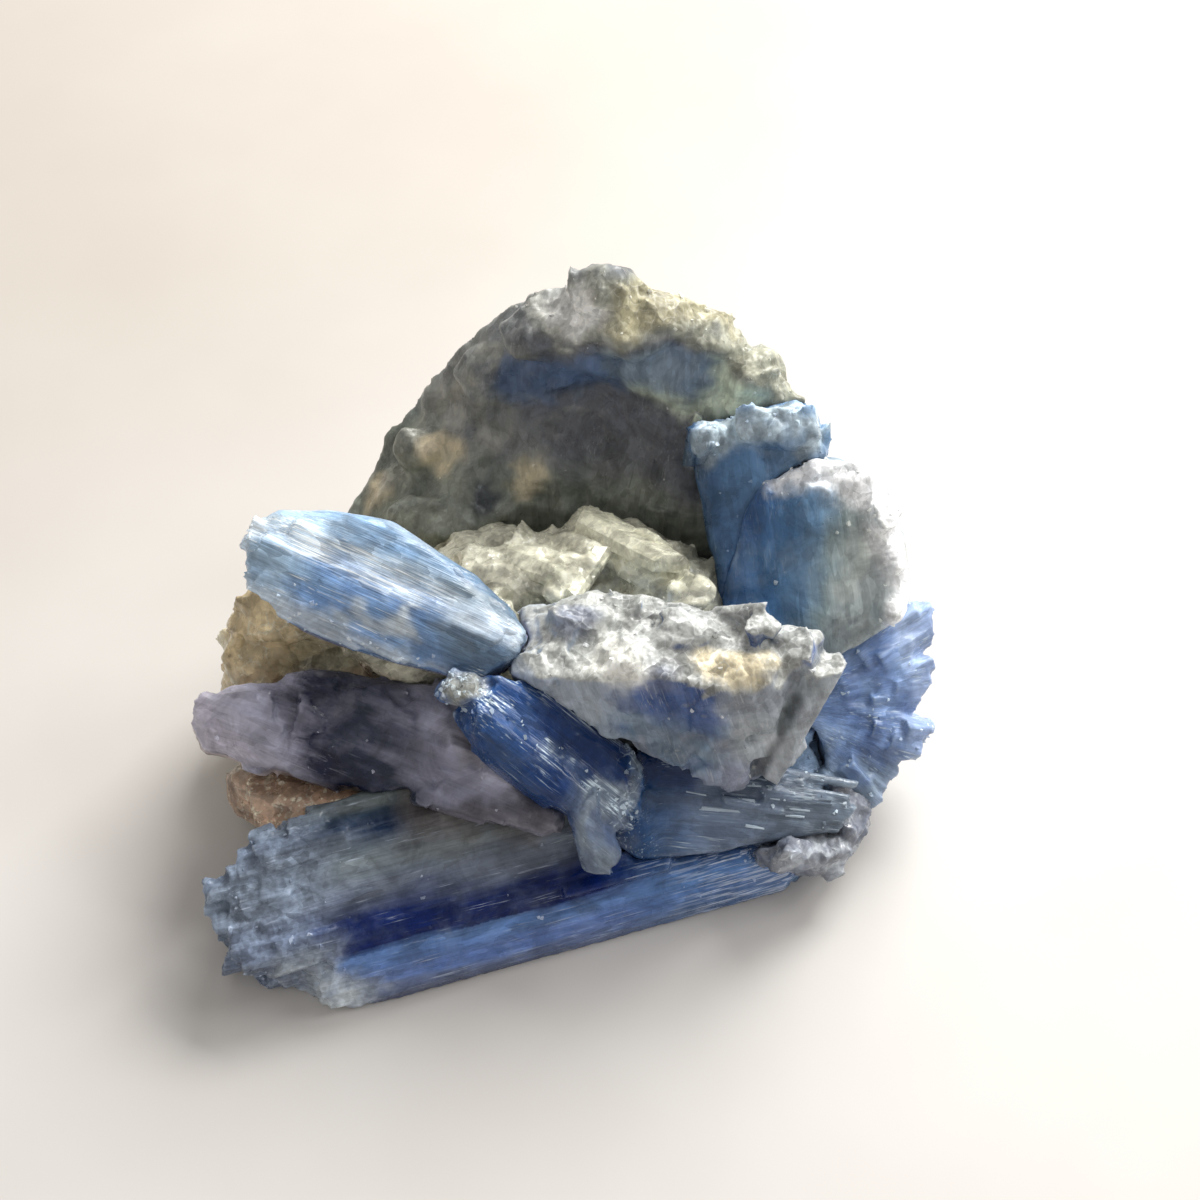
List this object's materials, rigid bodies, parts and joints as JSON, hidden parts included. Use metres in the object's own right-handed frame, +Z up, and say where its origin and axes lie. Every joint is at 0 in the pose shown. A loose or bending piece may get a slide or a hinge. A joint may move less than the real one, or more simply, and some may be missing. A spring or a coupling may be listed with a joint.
{
  "type": "kyanite blade cluster",
  "caption": "Natural cluster of flat blue kyanite blades grown around a hollow with quartz, resting on a flat underside.",
  "frame": {"origin": "middle of the bounding box at its lowest level, on the surface that the cluster rests on", "axes": "+X to the right seen from the front blade, +Y to the tall back mass, +Z up"},
  "size_m": [0.0762, 0.0646, 0.0416],
  "materials": {
    "front_blue": "glossy, striped along the blade",
    "violet_grey": "cloudy, half glossy",
    "pale_blue": "silky, finely striped",
    "deep_blue": "glassy with fine bright lines",
    "sugar_white": "sugary crystal crust over blue",
    "grey_blue": "rough, fibrous, pale at the rim",
    "smooth_blue": "smooth cleavage face",
    "rim_grey": "blue to grey with a white crust",
    "bright_blue": "fibrous, finely toothed",
    "clear_quartz": "glassy, broken",
    "stained_quartz": "glassy, broken, stained brown and yellow"
  },
  "bodies": {
    "root": {"front_blade": "front_blue", "lower_left_blade": "violet_grey", "upper_left_blade": "pale_blue", "middle_blade": "deep_blue", "centre_block": "sugar_white", "back_mass": "grey_blue", "right_blade": "smooth_blue", "right_rim_blade": "rim_grey", "right_fan": "bright_blue", "corner_quartz": "clear_quartz", "quartz_matrix": "stained_quartz"}
  },
  "joints": []
}
